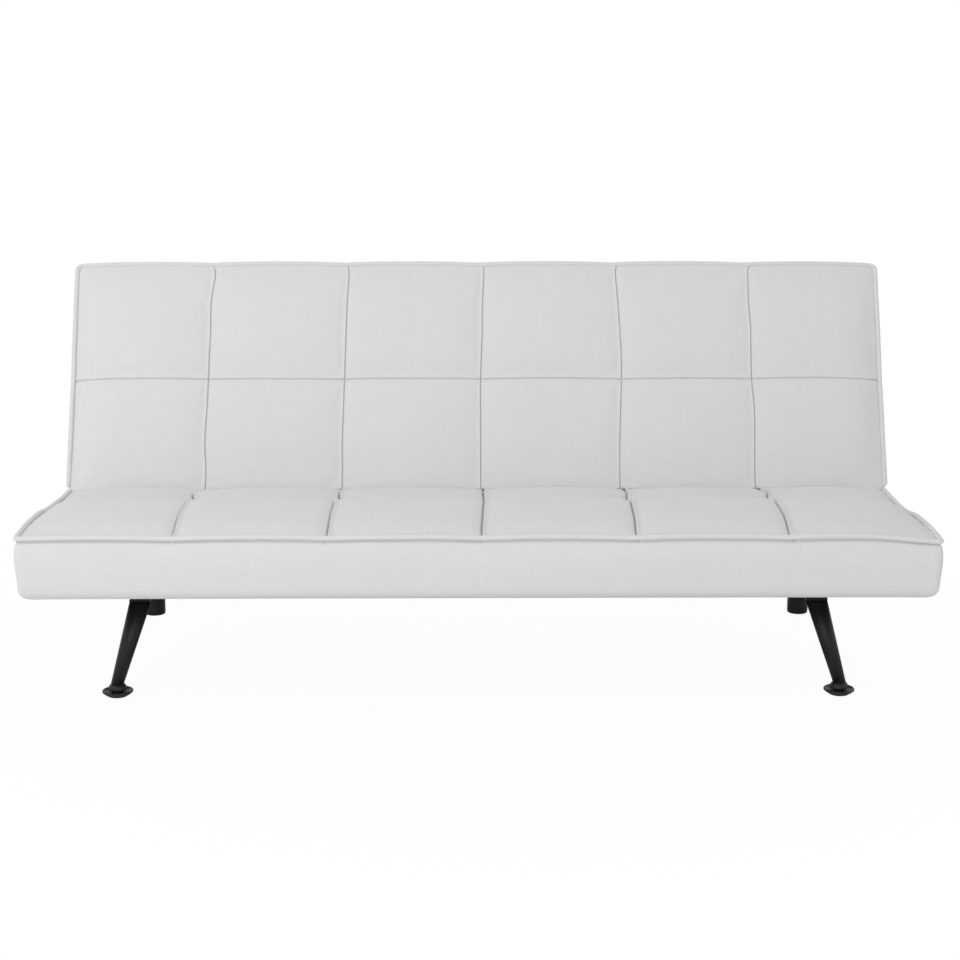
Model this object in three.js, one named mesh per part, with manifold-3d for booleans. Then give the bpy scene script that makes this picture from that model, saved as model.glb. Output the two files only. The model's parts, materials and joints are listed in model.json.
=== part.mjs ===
// Click clack sofa bed: a padded seat and a padded back of equal width that fold about one axis,
// on a steel base with two splayed front legs and two straight rear legs.
// Millimetres, +Z up, the front of the seat faces -Y, the origin lies on the floor under the centre.
import * as THREE from "three";
import { mergeVertices } from "three/addons/utils/BufferGeometryUtils.js";
import Module from "manifold-3d";

const wasm = await Module();
wasm.setup();

// Overall size
const sofaWidth = 1780;
const seatTopHeight = 357;
const seatReach = 515;
const backReach = 504;
const cushionThickness = 123;
const pivotDepth = 16;
const hingeGap = 4;
const flatTravelAngle = THREE.MathUtils.degToRad(67.5);
const fitGap = 0.3;
const cutOverrun = 2;

// Cushion form
const columnCount = 6;
const seatFrontRow = 258;
const backTopRow = 262;
const seatCrest = 36;
const backCrest = 28;
const sideDrawIn = 4;
const topEdgeRadius = 12;
const bottomEdgeRadius = 18;
const planCornerRadius = 11;
const hingeEdgeRadius = 24;
const columnGridShares = [0, 0.12, 0.36, 0.64, 0.88];
const innerRowShares = [0, 0.12, 0.36, 0.64, 0.88];
const outerRowShares = [0, 0.18, 0.4, 0.66, 0.88, 1];

// Rise of the top at each line of the two rows, from the hinge to the far edge, in shares of the
// crest: along the column seams, along the middle of the columns, and along the side edges
const seatSeamShares = [-0.33, -0.19, 0.08, 0.22, 0.235, 0.33, 0.75, 0.72, 0.56, 0.28, 0];
const seatMiddleShares = [-0.3, -0.11, 0.28, 0.53, 0.69, 0.78, 1, 0.95, 0.78, 0.42, 0.08];
const seatSideShares = [-0.5, -0.43, -0.31, -0.17, -0.06, 0, 0.19, 0.28, 0.28, 0.14, 0];
const backSeamShares = [-0.36, -0.07, 0.36, 0.54, 0.57, 0.5, 0.64, 0.64, 0.54, 0.29, 0];
const backMiddleShares = [-0.29, 0.14, 0.64, 0.86, 0.93, 0.79, 0.96, 1, 0.86, 0.46, 0.11];
const backSideShares = [-0.5, -0.36, -0.18, 0, 0.07, 0.04, 0.18, 0.29, 0.25, 0.11, 0];
const arcStepShare = 1 - Math.SQRT1_2;

// Piping
const pipingRadius = 5;
const pipingGap = 0.8;
const pipingSides = 6;
const pipingEndGap = 14;

// Frames of the two padded panels
const railWidth = 25;
const railHeight = 35;
const railWall = 2;
const recessInset = 30;
const railInset = 2;
const dustCoverThickness = 2;
const dustCoverRise = 1;
const dustCoverMargin = 1;
const webbingThickness = 3;
const webbingWidth = 70;
const webbingEndInset = 5;
const webbingCount = 4;

// Hinge mechanism at each end of the fold
const plateThickness = 5;
const plateSpacing = 0.5;
const slotOuterWall = 16.4;
const pinOuterClearance = 5.2;
const pinInnerClearance = 1.8;
const slotDepth = 64;
const slotTop = 12;
const slotMouthClearance = 2;
const slotKneeRun = 4;
const slotKneeDrop = 14;
const bossRadius = 11;
const pinRadius = 5;
const pinHeadRadius = 8;
const pinHeadThickness = 3;
const pinClearance = 0.3;
const armLength = 150;
const armHeelDepth = 20;
const armShoulder = 50;
const armEdgeGap = 1;
const bracketFootFront = 35;
const bracketFootRear = 5;
const sectorRadius = 24;
const sectorStartAngle = THREE.MathUtils.degToRad(-75);
const sectorEndAngle = THREE.MathUtils.degToRad(25);
const toothCount = 10;
const toothDepth = 2.5;
const pawlAngle = THREE.MathUtils.degToRad(-55);
const pawlRadius = 38;
const pawlHub = 7;
const pawlNoseWidth = 4;
const pawlGap = 0.5;
const pawlStudRadius = 3;
const pawlStudTail = 1;

// Steel base: the rails run from behind the seat's front edge to a tail behind the hinge axis
const baseTubeHeight = 25;
const baseTubeWall = 2;
const sideRailWidth = 40;
const crossbarWidth = 30;
const baseRailInset = 208.4;
const baseRailFront = 138;
const baseRailTail = 258;
const frontLegSetback = 12;
const frontCrossbarSetback = 62;
const rearLegSetback = 26;
const rearLegInset = 137.4;
const rearCrossbarOverhang = 26;
const hingeCrossbarSetback = 15;
const bumperRadius = 14;
const bumperHeight = 6.4;
const frontBumperSetback = 42;
const middleBumperSetback = 80;
const rearBumperSetback = 58;

// Legs and glides
const frontLegTopRadius = 21;
const frontLegBottomRadius = 12;
const frontLegWall = 2;
const frontFootInset = 155.4;
const legPlateLength = 80;
const legPlateWidth = 42;
const legPlateLead = 12;
const legPlateThickness = 5;
const rearLegRadius = 23;
const rearPadHeight = 4;
const roundSegments = 24;
const glideHeight = 25;
const glideBallHeight = 11.5;
const glideBallRadius = 5.5;
const glideBallClearance = 0.3;
const glideNeckRadius = 3;
const glideDomeRadius = 17;
const glideDomeShoulder = 16;
const glideSkirtHeight = 12.5;
const glideSkirtWall = 3;
const glideDomeTopRadius = 12.5;
const glideDiscRadius = 31;
const glideDiscFootRadius = 19;
const glideDiscTop = 11;
const glideDiscRimLow = 8;
const glideDiscEdge = 1.5;
const glideDishRadius = 24;
const glideDishHeight = 9;
const glideBossRadius = 9.5;
const glideBossTop = 15;

// Heights and places that follow from the sizes above
const pivotHeight = seatTopHeight - pivotDepth;
const cushionBottom = pivotDepth - cushionThickness;
const dustCoverBottom = cushionBottom + dustCoverRise;
const railBottom = dustCoverBottom + dustCoverThickness + fitGap;
const railTop = railBottom + railHeight;
const webbingBottom = railTop + fitGap;
const recessTop = webbingBottom + webbingThickness + fitGap;
const recessNear = hingeGap + recessInset;
const pipingOffset = topEdgeRadius + pipingRadius + pipingGap;
const pipingCentreX = sofaWidth / 2 - pipingRadius;
const cushionHalfWidth = pipingCentreX - pipingOffset * Math.SQRT1_2 + topEdgeRadius;
const pipingProud = pipingCentreX - cushionHalfWidth;
const columnWidth = (2 * cushionHalfWidth) / columnCount;
const slotOuter = cushionHalfWidth - slotOuterWall;
const pinHeadPlace = slotOuter - pinOuterClearance - pinHeadThickness;
const backArmX = pinHeadPlace - plateSpacing - plateThickness;
const bracketX = backArmX - plateSpacing - plateThickness;
const seatArmX = bracketX - plateSpacing - plateThickness;
const pinStart = seatArmX - plateSpacing;
const slotInner = pinStart - pinHeadThickness - pinInnerClearance;
const seatRailOuter = seatArmX - fitGap;
const backRailOuter = backArmX - fitGap;
const legTopX = cushionHalfWidth - baseRailInset;
const frontLegFootX = cushionHalfWidth - frontFootInset;
const rearLegX = cushionHalfWidth - rearLegInset;
const bumperTop = pivotHeight + dustCoverBottom - fitGap;
const bumperBottom = bumperTop - bumperHeight;
const baseTopHeight = bumperBottom - fitGap;
const baseBottomHeight = baseTopHeight - baseTubeHeight;
const lowerBarTop = baseBottomHeight - fitGap;
const lowerBarBottom = lowerBarTop - baseTubeHeight;
const railFrontY = baseRailFront - seatReach - pipingRadius;
const frontLegY = railFrontY + frontLegSetback;
const rearLegY = baseRailTail - rearLegSetback;
const sides = [{ name: "left", sign: -1 }, { name: "right", sign: 1 }];

// Materials
const material = (color, roughness, metalness) =>
  new THREE.MeshStandardMaterial({ color, roughness, metalness });
const fabric = () => material(0xdadad6, 0.95, 0);
const pipingFabric = () => material(0xdededa, 0.95, 0);
const blackSteel = () => material(0x232224, 0.4, 0.6);
const bareSteel = () => material(0x8a8d90, 0.35, 0.9);
const blackPlastic = () => material(0x1b1a1c, 0.5, 0);
const rubber = () => material(0x141414, 0.85, 0);
const feltBlack = () => material(0x202020, 0.95, 0);
const webbingCloth = () => material(0x4a4038, 0.9, 0);

// Shape helpers
const addPiece = (group, name, geometry, finish) => {
  const mesh = new THREE.Mesh(geometry, finish);
  mesh.name = name;
  group.add(mesh);
  return mesh;
};

const toSolid = (geometry) => {
  const bare = geometry.clone();
  bare.deleteAttribute("normal");
  bare.deleteAttribute("uv");
  const welded = mergeVertices(bare, fitGap / roundSegments);
  return new wasm.Manifold(new wasm.Mesh({
    numProp: 3,
    vertProperties: new Float32Array(welded.attributes.position.array),
    triVerts: new Uint32Array(welded.index.array),
  }));
};

const toGeometry = (solid) => {
  const mesh = solid.getMesh();
  const geometry = new THREE.BufferGeometry();
  const corners = new Float32Array(mesh.vertProperties);
  geometry.setAttribute("position", new THREE.BufferAttribute(corners, 3));
  geometry.setIndex(new THREE.BufferAttribute(new Uint32Array(mesh.triVerts), 1));
  return geometry;
};

const rectangle = (width, height) => {
  const shape = new THREE.Shape();
  shape.moveTo(-width / 2, -height / 2);
  shape.lineTo(width / 2, -height / 2);
  shape.lineTo(width / 2, height / 2);
  shape.lineTo(-width / 2, height / 2);
  shape.closePath();
  return shape;
};

// An open-ended rectangular steel tube between two places along X or Y
const boxTube = (along, width, height, wall, from, to) => {
  const shape = rectangle(width, height);
  shape.holes.push(rectangle(width - 2 * wall, height - 2 * wall));
  const tube = new THREE.ExtrudeGeometry(shape, { depth: to - from, bevelEnabled: false, steps: 1 });
  if (along === "x") {
    tube.rotateZ(Math.PI / 2);
    tube.rotateY(Math.PI / 2);
    tube.translate(from, 0, 0);
  } else {
    tube.rotateX(-Math.PI / 2);
    tube.translate(0, from, 0);
  }
  return tube;
};

const box = (lowX, highX, lowY, highY, lowZ, highZ) => {
  const block = new THREE.BoxGeometry(highX - lowX, highY - lowY, highZ - lowZ);
  block.translate((lowX + highX) / 2, (lowY + highY) / 2, (lowZ + highZ) / 2);
  return block;
};

// A plate drawn in the YZ plane, with its thickness along X
const sidePlate = (shape, lowX, thickness) => {
  const plate = new THREE.ExtrudeGeometry(shape, {
    depth: thickness, bevelEnabled: false, steps: 1, curveSegments: roundSegments / 2,
  });
  plate.applyMatrix4(new THREE.Matrix4().makeBasis(
    new THREE.Vector3(0, 1, 0), new THREE.Vector3(0, 0, 1), new THREE.Vector3(1, 0, 0)));
  plate.translate(lowX, 0, 0);
  return plate;
};

const roundHole = (y, z, radius) => {
  const hole = new THREE.Path();
  hole.absarc(y, z, radius, 0, Math.PI * 2, true);
  return hole;
};

// A turned piece about +Z, from profile points of radius and height that start and end on the axis
const turned = (points) => {
  const lathe = new THREE.LatheGeometry(points.map(([r, z]) => new THREE.Vector2(r, z)), roundSegments);
  lathe.rotateX(Math.PI / 2);
  return lathe;
};

const roundBar = (radius, low, high) => turned([[0, low], [radius, low], [radius, high], [0, high]]);

// Lowest X of a plate that starts at the distance from the middle given for the right-hand side
const plateLowX = (sign, distance, thickness) => (sign > 0 ? distance : -distance - thickness);

// Cushion form. A panel lies flat: X across, Y away from the hinge, Z up from the hinge axis.
// The bulge across a column, 0 on its seams and 1 in its middle
const bulge = (share) => 1 - Math.abs(2 * share - 1) ** 2.4;

const columnShare = (x) => {
  const columns = (x + cushionHalfWidth) / columnWidth;
  return columns - Math.min(Math.floor(columns), columnCount - 1);
};

const rowLines = (panel) => [
  ...innerRowShares.map((share) => hingeGap + share * (panel.rowSeam - hingeGap)),
  ...outerRowShares.map((share) => panel.rowSeam + share * (panel.reach - panel.rowSeam)),
];

// A row of rises, read between its lines
const riseAlong = (shares, y, panel) => {
  const lines = rowLines(panel);
  const place = THREE.MathUtils.clamp(y, lines[0], panel.reach);
  const next = Math.max(lines.findIndex((line) => line >= place - fitGap / columnCount), 1);
  const part = THREE.MathUtils.inverseLerp(lines[next - 1], lines[next], place);
  return panel.crest * THREE.MathUtils.lerp(shares[next - 1], shares[next], part);
};

const topRise = (x, y, panel) => {
  const middle = riseAlong(panel.middleShares, y, panel);
  const fromSide = (cushionHalfWidth - Math.min(Math.abs(x), cushionHalfWidth)) / columnWidth;
  const base = riseAlong(fromSide < 0.5 ? panel.sideShares : panel.seamShares, y, panel);
  return base + (middle - base) * bulge(fromSide < 0.5 ? fromSide : columnShare(x));
};

const roundPlanCorner = (x, y, halfX, halfY) => {
  const coreX = Math.max(Math.abs(x) - (halfX - planCornerRadius), 0);
  const coreY = Math.max(Math.abs(y) - (halfY - planCornerRadius), 0);
  const reach = Math.max(coreX, coreY);
  const length = Math.hypot(coreX, coreY);
  const scale = length > 0 ? reach / length : 1;
  return [
    Math.sign(x) * (Math.abs(x) - coreX * (1 - scale)),
    Math.sign(y) * (Math.abs(y) - coreY * (1 - scale)),
  ];
};

const cushionForm = (panel) => {
  const columnLines = Array.from({ length: columnCount }, (_, column) =>
    columnGridShares.map((share) => (column + share) / columnCount)).flat().concat(1);
  const lines = rowLines(panel);
  const levels = ["top", "topArc", "topSide", "middle", "bottomSide", "bottomArc", "bottom"];
  const counts = [columnLines.length - 1, lines.length - 1, levels.length - 1];
  const form = new THREE.BoxGeometry(1, 1, 1, ...counts);
  const halfLength = (panel.reach - hingeGap) / 2;
  const middleY = hingeGap + halfLength;
  const corner = new THREE.Vector3();
  const positions = form.attributes.position;
  for (let i = 0; i < positions.count; i += 1) {
    corner.fromBufferAttribute(positions, i);
    const flatX = (2 * columnLines[Math.round((corner.x + 0.5) * counts[0])] - 1) * cushionHalfWidth;
    const flatY = lines[Math.round((corner.y + 0.5) * counts[1])] - middleY;
    const level = levels[Math.round((0.5 - corner.z) * counts[2])];
    const onSide = Math.abs(corner.x) === 0.5;
    const endRadius = onSide || flatY > 0 ? topEdgeRadius : hingeEdgeRadius;
    const atHinge = corner.y === -0.5;
    const inset = (radius) => ({
      top: radius, topArc: radius * arcStepShare, topSide: 0, middle: sideDrawIn,
      bottomSide: 0, bottomArc: bottomEdgeRadius * arcStepShare, bottom: bottomEdgeRadius,
    }[level]);
    const topRadius = atHinge ? endRadius : topEdgeRadius;
    const drop = {
      top: 0, topArc: topRadius * arcStepShare, topSide: topRadius, middle: cushionThickness / 2,
      bottomSide: cushionThickness - bottomEdgeRadius,
      bottomArc: cushionThickness - bottomEdgeRadius * arcStepShare, bottom: cushionThickness,
    }[level];
    const [roundX, roundY] = roundPlanCorner(flatX, flatY, cushionHalfWidth, halfLength);
    const endInset = level === "middle" && atHinge ? 0 : inset(endRadius);
    const x = roundX * (1 - inset(topEdgeRadius) / cushionHalfWidth);
    const y = roundY * (1 - endInset / halfLength) + middleY;
    const rise = topRise(flatX, flatY + middleY, panel) * Math.max(0, 1 - drop / (cushionThickness / 2));
    positions.setXYZ(i, x, y, pivotDepth - drop + rise);
  }
  return form;
};

// The slot for a hinge's plates: wide enough at the mouth to swing past the toothed sector
const slotShape = () => {
  const mouth = sectorRadius + slotMouthClearance;
  const shape = new THREE.Shape();
  shape.moveTo(-cutOverrun, cushionBottom - cutOverrun);
  shape.lineTo(slotDepth, cushionBottom - cutOverrun);
  shape.lineTo(slotDepth, railTop);
  shape.lineTo(mouth + slotKneeRun, -slotKneeDrop);
  shape.lineTo(mouth, slotTop);
  shape.lineTo(-cutOverrun, slotTop);
  shape.closePath();
  return shape;
};

// The foam and its cover: the form with a recess below for the frame and a slot at each hinge
const cushionPiece = (panel) => {
  const recess = box(-slotOuter, slotOuter, recessNear, panel.reach - recessInset,
    cushionBottom - cutOverrun, recessTop);
  let solid = toSolid(cushionForm(panel)).subtract(toSolid(recess));
  for (const { sign } of sides) {
    const lowX = plateLowX(sign, slotInner, slotOuter - slotInner);
    solid = solid.subtract(toSolid(sidePlate(slotShape(), lowX, slotOuter - slotInner)));
  }
  return toGeometry(solid);
};

// A cord with closed ends along a row of points
const cord = (points, radius, sideCount) => {
  const corners = [];
  const faces = [];
  points.forEach((point, i) => {
    const before = points[Math.max(i - 1, 0)];
    const after = points[Math.min(i + 1, points.length - 1)];
    const forward = after.clone().sub(before).normalize();
    const outward = forward.clone().cross(new THREE.Vector3(0, 0, 1)).normalize();
    const upward = outward.clone().cross(forward);
    for (let k = 0; k < sideCount; k += 1) {
      const angle = (2 * Math.PI * (k + 0.5)) / sideCount;
      const corner = point.clone().addScaledVector(outward, radius * Math.cos(angle));
      corners.push(...corner.addScaledVector(upward, radius * Math.sin(angle)).toArray());
    }
  });
  const last = (points.length - 1) * sideCount;
  for (let start = 0; start < last; start += sideCount) {
    for (let k = 0; k < sideCount; k += 1) {
      const next = (k + 1) % sideCount;
      faces.push(start + k, start + sideCount + k, start + sideCount + next);
      faces.push(start + k, start + sideCount + next, start + next);
    }
  }
  for (let k = 1; k < sideCount - 1; k += 1) {
    faces.push(0, k, k + 1, last, last + k + 1, last + k);
  }
  const geometry = new THREE.BufferGeometry();
  geometry.setAttribute("position", new THREE.Float32BufferAttribute(corners, 3));
  geometry.setIndex(faces);
  return geometry;
};

// Piping: one open run along a side, the far edge and the other side
const pipingPiece = (panel) => {
  const endY = panel.reach + pipingProud;
  const cornerRadius = planCornerRadius + pipingProud;
  const points = [];
  const place = (x, y) => points.push(new THREE.Vector3(x, y, pivotDepth + pipingProud
    + topRise(x, y, panel)));
  const sideStart = hingeGap + pipingEndGap;
  const lines = rowLines(panel);
  const sideEnd = endY - cornerRadius;
  const sideSteps = 2 * lines.length;
  for (let i = 0; i < sideSteps; i += 1) {
    place(-pipingCentreX, sideStart + ((sideEnd - sideStart) * i) / sideSteps);
  }
  const arcSteps = 4;
  for (let i = 0; i <= arcSteps; i += 1) {
    const angle = Math.PI - (Math.PI / 2) * (i / arcSteps);
    place(-pipingCentreX + cornerRadius * (1 + Math.cos(angle)), sideEnd + cornerRadius * Math.sin(angle));
  }
  const edgeSteps = columnCount * columnGridShares.length;
  const edgeEnd = pipingCentreX - cornerRadius;
  for (let i = 1; i < edgeSteps; i += 1) {
    place(-edgeEnd + (2 * edgeEnd * i) / edgeSteps, endY);
  }
  for (const point of [...points].reverse().filter((p) => p.x < -edgeEnd + fitGap)) {
    points.push(new THREE.Vector3(-point.x, point.y, point.z));
  }
  return cord(points, pipingRadius, pipingSides);
};

// One padded panel: cushion, piping, steel frame, webbing and dust cover
const buildPanel = (panel) => {
  const group = new THREE.Group();
  const { prefix, railOuter, reach, lateral } = panel;
  addPiece(group, `${prefix}_cushion`, cushionPiece(panel), fabric());
  addPiece(group, `${prefix}_piping`, pipingPiece(panel), pipingFabric());

  const nearY = recessNear + railInset;
  const farY = reach - recessInset - railInset;
  const railMiddleZ = (railBottom + railTop) / 2;
  const acrossEnd = railOuter - railWidth - fitGap;
  for (const { name, sign } of sides) {
    const rail = boxTube("y", railWidth, railHeight, railWall, nearY, farY);
    rail.translate(lateral * sign * (railOuter - railWidth / 2), 0, railMiddleZ);
    addPiece(group, `${prefix}_frame_${name}`, rail, blackSteel());
    const bearer = boxTube("y", railWidth, railHeight, railWall,
      nearY + railWidth + fitGap, farY - railWidth - fitGap);
    bearer.translate(lateral * sign * legTopX, 0, railMiddleZ);
    addPiece(group, `${prefix}_bearer_${name}`, bearer, blackSteel());
  }
  for (const [name, y] of [["inner", nearY + railWidth / 2], ["outer", farY - railWidth / 2]]) {
    const rail = boxTube("x", railWidth, railHeight, railWall, -acrossEnd, acrossEnd);
    rail.translate(0, y, railMiddleZ);
    addPiece(group, `${prefix}_frame_${name}`, rail, blackSteel());
  }

  const webbingPitch = (2 * acrossEnd) / webbingCount;
  for (let i = 0; i < webbingCount; i += 1) {
    const x = lateral * (webbingPitch * (i + 0.5) - acrossEnd);
    addPiece(group, `${prefix}_webbing_${i + 1}`, box(x - webbingWidth / 2, x + webbingWidth / 2,
      nearY + webbingEndInset, farY - webbingEndInset, webbingBottom, webbingBottom + webbingThickness),
      webbingCloth());
  }
  const coverX = seatRailOuter - dustCoverMargin;
  addPiece(group, `${prefix}_dust_cover`, box(-coverX, coverX, nearY + dustCoverMargin,
    farY - dustCoverMargin, dustCoverBottom, dustCoverBottom + dustCoverThickness), feltBlack());
  return group;
};

// Hinge arm: a cranked plate from the hinge boss down to the side of the panel's frame rail
const armShape = () => {
  const nearY = recessNear + railInset;
  const shape = new THREE.Shape();
  const top = railTop - armEdgeGap;
  const bottom = railBottom + armEdgeGap;
  const slope = Math.atan2(top, armShoulder);
  shape.absarc(0, 0, bossRadius, slope + Math.PI / 2, slope - Math.PI / 2, false);
  shape.lineTo(armHeelDepth, top);
  shape.lineTo(nearY, bottom);
  shape.lineTo(armLength, bottom);
  shape.lineTo(armLength, top);
  shape.lineTo(armShoulder, top);
  shape.closePath();
  shape.holes.push(roundHole(0, 0, pinRadius + pinClearance));
  return shape;
};

const pawlPlace = new THREE.Vector2(
  pawlRadius * Math.cos(pawlAngle), pawlRadius * Math.sin(pawlAngle));

const pawlPiece = (sign) => {
  const shape = new THREE.Shape();
  const inward = pawlAngle + Math.PI;
  const noseRadius = sectorRadius + pawlGap;
  const noseMiddle = new THREE.Vector2(noseRadius * Math.cos(pawlAngle), noseRadius * Math.sin(pawlAngle));
  const across = new THREE.Vector2(-Math.sin(pawlAngle), Math.cos(pawlAngle));
  across.multiplyScalar(pawlNoseWidth / 2);
  shape.absarc(pawlPlace.x, pawlPlace.y, pawlHub, inward + Math.PI / 3, inward - Math.PI / 3, false);
  shape.lineTo(noseMiddle.x + across.x, noseMiddle.y + across.y);
  shape.lineTo(noseMiddle.x - across.x, noseMiddle.y - across.y);
  shape.closePath();
  const plate = sidePlate(shape, plateLowX(sign, bracketX, plateThickness), plateThickness);
  const studLength = plateThickness + plateSpacing + plateThickness + pawlStudTail;
  const stud = new THREE.CylinderGeometry(pawlStudRadius, pawlStudRadius, studLength, roundSegments / 2);
  stud.rotateZ(Math.PI / 2);
  const studMiddle = bracketX + plateThickness / 2 + studLength / 2;
  stud.translate(sign * studMiddle, pawlPlace.x, pawlPlace.y);
  return toGeometry(toSolid(plate).add(toSolid(stud)));
};

// Fixed hinge bracket: a foot on the crossbar, a web and a toothed sector about the hinge axis
const bracketPiece = (sign) => {
  const footTop = lowerBarTop - pivotHeight;
  const footBottom = lowerBarBottom - pivotHeight;
  const shape = new THREE.Shape();
  shape.moveTo(-bracketFootFront, footBottom);
  shape.lineTo(bracketFootRear, footBottom);
  shape.lineTo(bracketFootRear, sectorRadius * Math.sin(sectorStartAngle));
  for (let i = 0; i <= 2 * toothCount; i += 1) {
    const angle = sectorStartAngle + ((sectorEndAngle - sectorStartAngle) * i) / (2 * toothCount);
    const radius = i % 2 === 0 ? sectorRadius : sectorRadius - toothDepth;
    shape.lineTo(radius * Math.cos(angle), radius * Math.sin(angle));
  }
  shape.absarc(0, 0, bossRadius, sectorEndAngle, Math.PI, false);
  shape.lineTo(-bracketFootFront, footTop);
  shape.closePath();
  shape.holes.push(roundHole(0, 0, pinRadius + pinClearance));
  return sidePlate(shape, plateLowX(sign, bracketX, plateThickness), plateThickness);
};

const pinPiece = (sign) => {
  const pin = turned([
    [0, pinStart - pinHeadThickness], [pinHeadRadius, pinStart - pinHeadThickness],
    [pinHeadRadius, pinStart], [pinRadius, pinStart],
    [pinRadius, pinHeadPlace], [pinHeadRadius, pinHeadPlace],
    [pinHeadRadius, pinHeadPlace + pinHeadThickness], [0, pinHeadPlace + pinHeadThickness],
  ]);
  pin.rotateY((sign * Math.PI) / 2);
  return pin;
};

// Seat and back
const hinge = new THREE.Group();
hinge.position.set(0, 0, pivotHeight);

const seat = buildPanel({
  prefix: "seat", reach: seatReach, rowSeam: seatReach - seatFrontRow,
  crest: seatCrest, seamShares: seatSeamShares, middleShares: seatMiddleShares,
  sideShares: seatSideShares, railOuter: seatRailOuter, lateral: -1,
});
seat.rotation.z = Math.PI;
const back = buildPanel({
  prefix: "back", reach: backReach, rowSeam: backReach - backTopRow,
  crest: backCrest, seamShares: backSeamShares, middleShares: backMiddleShares,
  sideShares: backSideShares, railOuter: backRailOuter, lateral: 1,
});
back.rotation.x = flatTravelAngle;

for (const { name, sign } of sides) {
  addPiece(seat, `seat_hinge_arm_${name}`,
    sidePlate(armShape(), plateLowX(-sign, seatArmX, plateThickness), plateThickness), bareSteel());
  const backArm = armShape();
  backArm.holes.push(roundHole(pawlPlace.x, pawlPlace.y, pawlStudRadius + pinClearance));
  addPiece(back, `back_hinge_arm_${name}`,
    sidePlate(backArm, plateLowX(sign, backArmX, plateThickness), plateThickness), bareSteel());
  addPiece(back, `ratchet_pawl_${name}`, pawlPiece(sign), bareSteel());
  addPiece(hinge, `hinge_bracket_${name}`, bracketPiece(sign), bareSteel());
  addPiece(hinge, `hinge_pin_${name}`, pinPiece(sign), bareSteel());
}
hinge.add(seat, back);

// Base
const base = new THREE.Group();
const upperMiddleZ = (baseBottomHeight + baseTopHeight) / 2;
const lowerMiddleZ = (lowerBarBottom + lowerBarTop) / 2;
for (const { name, sign } of sides) {
  const rail = boxTube("y", sideRailWidth, baseTubeHeight, baseTubeWall, railFrontY, baseRailTail);
  rail.translate(sign * legTopX, 0, upperMiddleZ);
  addPiece(base, `base_rail_${name}`, rail, blackSteel());
}
const frontBarEnd = legTopX - sideRailWidth / 2 - fitGap;
const frontBar = boxTube("x", crossbarWidth, baseTubeHeight, baseTubeWall, -frontBarEnd, frontBarEnd);
frontBar.translate(0, railFrontY + frontCrossbarSetback, upperMiddleZ);
addPiece(base, "base_crossbar_front", frontBar, blackSteel());
const hingeBarEnd = bracketX - fitGap;
const hingeBar = boxTube("x", crossbarWidth, baseTubeHeight, baseTubeWall, -hingeBarEnd, hingeBarEnd);
hingeBar.translate(0, -hingeCrossbarSetback, lowerMiddleZ);
addPiece(base, "base_crossbar_hinge", hingeBar, blackSteel());
const rearBarEnd = rearLegX + rearCrossbarOverhang;
const rearBar = boxTube("x", crossbarWidth, baseTubeHeight, baseTubeWall, -rearBarEnd, rearBarEnd);
rearBar.translate(0, rearLegY, lowerMiddleZ);
addPiece(base, "base_crossbar_rear", rearBar, blackSteel());

// Rubber bumpers that the frames rest on: four under the seat, two for the back when it lies flat
const bumperPlaces = {
  front: railFrontY + frontBumperSetback,
  middle: -middleBumperSetback,
  rear: baseRailTail - rearBumperSetback,
};
for (const { name, sign } of sides) {
  for (const [where, place] of Object.entries(bumperPlaces)) {
    const bumper = roundBar(bumperRadius, bumperBottom, bumperTop);
    bumper.translate(sign * legTopX, place, 0);
    addPiece(base, `bumper_${where}_${name}`, bumper, rubber());
  }
}

// Front legs: tapered round tubes that lean outwards, with level ends
const frontLegTop = baseBottomHeight - fitGap - legPlateThickness - fitGap;
const frontLegBottom = glideHeight + fitGap;
const legLean = (frontLegFootX - legTopX) / (frontLegTop - frontLegBottom);
const frontLegPiece = (sign) => {
  const leg = turned([
    [0, frontLegBottom], [frontLegBottomRadius, frontLegBottom], [frontLegTopRadius, frontLegTop],
    [frontLegTopRadius - frontLegWall, frontLegTop],
    [frontLegBottomRadius - frontLegWall, frontLegBottom + frontLegWall], [0, frontLegBottom + frontLegWall],
  ]);
  leg.applyMatrix4(new THREE.Matrix4().makeShear(0, 0, 0, 0, -sign * legLean, 0));
  leg.translate(sign * (frontLegFootX + legLean * frontLegBottom), frontLegY, 0);
  return leg;
};

const glideSocketPiece = () => {
  const points = [[0, glideHeight], [glideDomeTopRadius, glideHeight]];
  const domeSteps = 4;
  for (let i = 1; i <= domeSteps; i += 1) {
    const angle = (Math.PI / 2) * (i / domeSteps);
    points.push([glideDomeTopRadius + (glideDomeRadius - glideDomeTopRadius) * Math.sin(angle),
      glideDomeShoulder + (glideHeight - glideDomeShoulder) * Math.cos(angle)]);
  }
  points.push([glideDomeRadius, glideSkirtHeight], [glideDomeRadius - glideSkirtWall, glideSkirtHeight]);
  const neckTop = glideBallHeight + glideBallRadius + glideSkirtWall;
  points.push([glideDomeRadius - glideSkirtWall, neckTop], [glideNeckRadius, neckTop]);
  const ballStart = Math.asin(glideNeckRadius / glideBallRadius);
  const ballSteps = 6;
  for (let i = 0; i <= ballSteps; i += 1) {
    const angle = ballStart + ((Math.PI - ballStart) * i) / ballSteps;
    points.push([i === ballSteps ? 0 : glideBallRadius * Math.sin(angle),
      glideBallHeight + glideBallRadius * Math.cos(angle)]);
  }
  return turned(points.reverse());
};

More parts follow.
